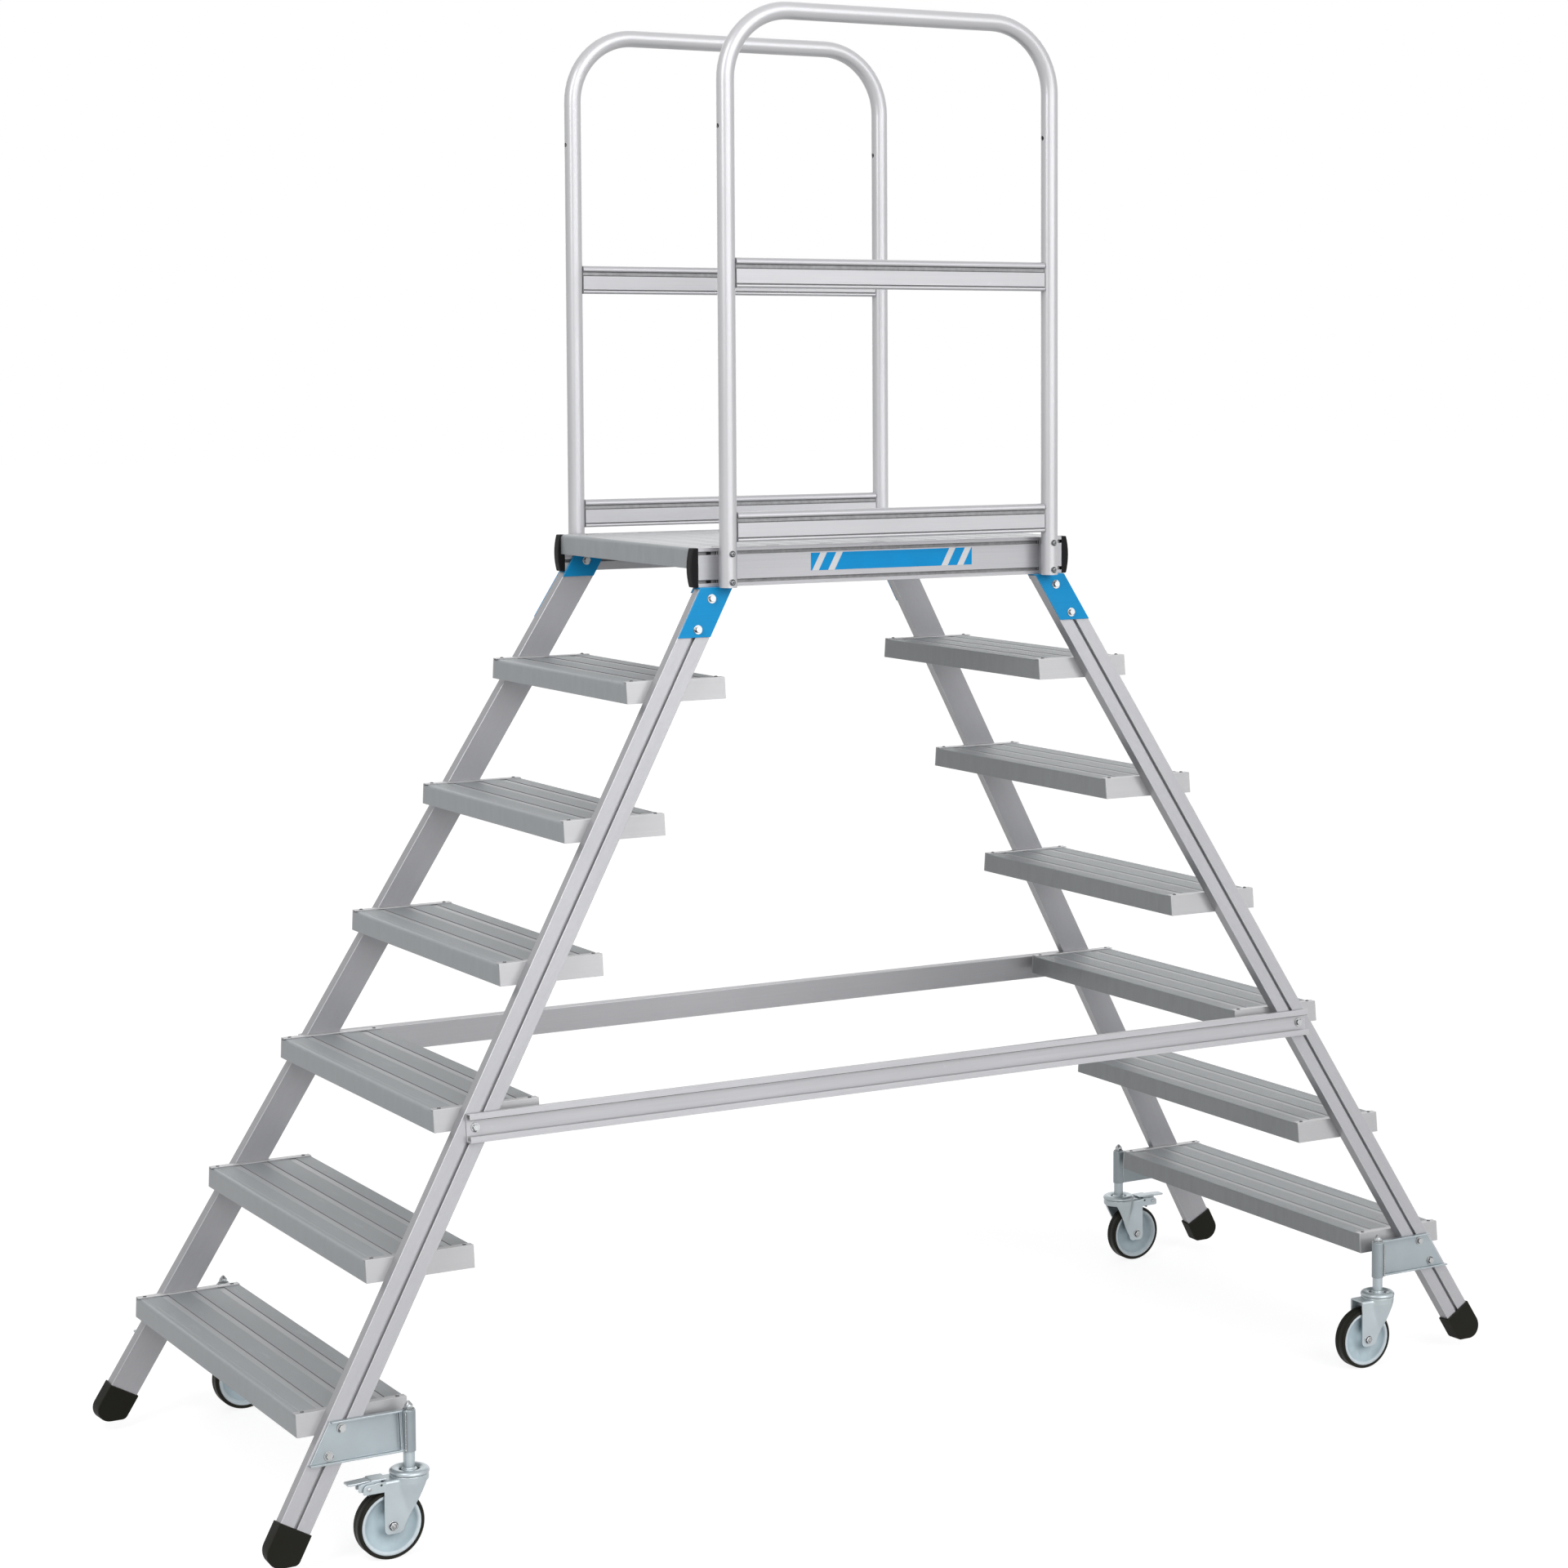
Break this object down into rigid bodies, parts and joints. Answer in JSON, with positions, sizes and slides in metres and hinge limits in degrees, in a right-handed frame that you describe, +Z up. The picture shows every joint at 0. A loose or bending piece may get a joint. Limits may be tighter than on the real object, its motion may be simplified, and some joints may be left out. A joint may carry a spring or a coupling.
{
  "type": "mobile ladder stand",
  "caption": "Aluminium mobile ladder stand: two facing flights of treads, railed platform, sprung swivel castors and rubber feet.",
  "frame": {"origin": "centre of the stand on the floor, midway between the flights and between the side rails", "axes": "+X along the stand from flight to flight, +Y across the stand, +Z up"},
  "size_m": [2.6166, 1.0116, 2.695],
  "materials": {
    "profile_aluminium": "satin extruded aluminium, pale grey",
    "tread_aluminium": "knurled, ribbed extruded aluminium",
    "tube_aluminium": "semi-polished drawn tube",
    "plate_aluminium": "folded sheet, pale satin",
    "blue_steel": "satin blue powder coat",
    "zinc_steel": "zinc plated, light blue-grey",
    "dark_steel": "dark spring steel",
    "black_plastic": "moulded, satin black",
    "rim_plastic": "moulded, light blue-grey",
    "foot_rubber": "moulded dark rubber",
    "tyre_rubber": "plain dark tread"
  },
  "bodies": {
    "frame": {"stile_left_near": "profile_aluminium", "stile_left_far": "profile_aluminium", "stile_right_near": "profile_aluminium", "stile_right_far": "profile_aluminium", "tread_left_1": "tread_aluminium", "tread_left_2": "tread_aluminium", "tread_left_3": "tread_aluminium", "tread_left_4": "tread_aluminium", "tread_left_5": "tread_aluminium", "tread_left_6": "tread_aluminium", "tread_right_1": "tread_aluminium", "tread_right_2": "tread_aluminium", "tread_right_3": "tread_aluminium", "tread_right_4": "tread_aluminium", "tread_right_5": "tread_aluminium", "tread_right_6": "tread_aluminium", "tread_end_plates": "plate_aluminium", "tread_rivets": "plate_aluminium", "stile_feet": "foot_rubber", "platform_deck": "tread_aluminium", "platform_side_rails": "profile_aluminium", "platform_end_caps": "black_plastic", "head_brackets": "blue_steel", "handrail_near": "tube_aluminium", "handrail_far": "tube_aluminium", "post_saddles": "profile_aluminium", "knee_rails": "profile_aluminium", "toe_boards": "profile_aluminium", "struts": "profile_aluminium", "frame_bolts": "zinc_steel", "castor_bracket_left_near": "zinc_steel", "castor_bracket_left_far": "zinc_steel", "castor_bracket_right_near": "zinc_steel", "castor_bracket_right_far": "zinc_steel"},
    "stem_left_near": {"castor_stem_left_near": "zinc_steel", "castor_spring_left_near": "dark_steel"},
    "swivel_left_near": {"castor_fork_left_near": "zinc_steel", "castor_axle_left_near": "zinc_steel"},
    "wheel_left_near": {"castor_rim_left_near": "rim_plastic", "castor_tyre_left_near": "tyre_rubber"},
    "stem_left_far": {"castor_stem_left_far": "zinc_steel", "castor_spring_left_far": "dark_steel"},
    "swivel_left_far": {"castor_fork_left_far": "zinc_steel", "castor_axle_left_far": "zinc_steel"},
    "wheel_left_far": {"castor_rim_left_far": "rim_plastic", "castor_tyre_left_far": "tyre_rubber"},
    "stem_right_near": {"castor_stem_right_near": "zinc_steel", "castor_spring_right_near": "dark_steel"},
    "swivel_right_near": {"castor_fork_right_near": "zinc_steel", "castor_axle_right_near": "zinc_steel"},
    "wheel_right_near": {"castor_rim_right_near": "rim_plastic", "castor_tyre_right_near": "tyre_rubber"},
    "stem_right_far": {"castor_stem_right_far": "zinc_steel", "castor_spring_right_far": "dark_steel"},
    "swivel_right_far": {"castor_fork_right_far": "zinc_steel", "castor_axle_right_far": "zinc_steel"},
    "wheel_right_far": {"castor_rim_right_far": "rim_plastic", "castor_tyre_right_far": "tyre_rubber"},
    "pedal_left_near": {"brake_pedal_left_near": "zinc_steel"},
    "pedal_right_far": {"brake_pedal_right_far": "zinc_steel"}
  },
  "joints": [
    {"name": "spring_slide_left_near", "type": "slide", "parent": "frame", "child": "stem_left_near", "axis": [0, 0, 1], "range_m": [0, 0.02], "stiffness_N_per_m": 6000, "springref_m": -0.034, "deforming": ["castor_spring_left_near"]},
    {"name": "swivel_left_near", "type": "hinge", "parent": "stem_left_near", "child": "swivel_left_near", "pos_m": [-1.04936, -0.4718, 0.1382], "axis": [0, 0, 1], "continuous": true},
    {"name": "wheel_roll_left_near", "type": "hinge", "parent": "swivel_left_near", "child": "wheel_left_near", "pos_m": [-1.08736, -0.4718, 0.0605], "axis": [0, 1, 0], "continuous": true},
    {"name": "spring_slide_left_far", "type": "slide", "parent": "frame", "child": "stem_left_far", "axis": [0, 0, 1], "range_m": [0, 0.02], "stiffness_N_per_m": 6000, "springref_m": -0.034, "deforming": ["castor_spring_left_far"]},
    {"name": "swivel_left_far", "type": "hinge", "parent": "stem_left_far", "child": "swivel_left_far", "pos_m": [-1.04936, 0.4718, 0.1382], "axis": [0, 0, 1], "continuous": true},
    {"name": "wheel_roll_left_far", "type": "hinge", "parent": "swivel_left_far", "child": "wheel_left_far", "pos_m": [-1.01136, 0.4718, 0.0605], "axis": [0, 1, 0], "continuous": true},
    {"name": "spring_slide_right_near", "type": "slide", "parent": "frame", "child": "stem_right_near", "axis": [0, 0, 1], "range_m": [0, 0.02], "stiffness_N_per_m": 6000, "springref_m": -0.034, "deforming": ["castor_spring_right_near"]},
    {"name": "swivel_right_near", "type": "hinge", "parent": "stem_right_near", "child": "swivel_right_near", "pos_m": [1.04936, -0.4718, 0.1382], "axis": [0, 0, 1], "continuous": true},
    {"name": "wheel_roll_right_near", "type": "hinge", "parent": "swivel_right_near", "child": "wheel_right_near", "pos_m": [1.01136, -0.4718, 0.0605], "axis": [0, 1, 0], "continuous": true},
    {"name": "spring_slide_right_far", "type": "slide", "parent": "frame", "child": "stem_right_far", "axis": [0, 0, 1], "range_m": [0, 0.02], "stiffness_N_per_m": 6000, "springref_m": -0.034, "deforming": ["castor_spring_right_far"]},
    {"name": "swivel_right_far", "type": "hinge", "parent": "stem_right_far", "child": "swivel_right_far", "pos_m": [1.04936, 0.4718, 0.1382], "axis": [0, 0, 1], "continuous": true},
    {"name": "wheel_roll_right_far", "type": "hinge", "parent": "swivel_right_far", "child": "wheel_right_far", "pos_m": [1.08736, 0.4718, 0.0605], "axis": [0, 1, 0], "continuous": true},
    {"name": "brake_left_near", "type": "hinge", "parent": "swivel_left_near", "child": "pedal_left_near", "pos_m": [-1.12786, -0.4718, 0.1307], "axis": [0, -1, 0], "range_deg": [0, 8]},
    {"name": "brake_right_far", "type": "hinge", "parent": "swivel_right_far", "child": "pedal_right_far", "pos_m": [1.12786, 0.4718, 0.1307], "axis": [0, 1, 0], "range_deg": [0, 8]}
  ]
}
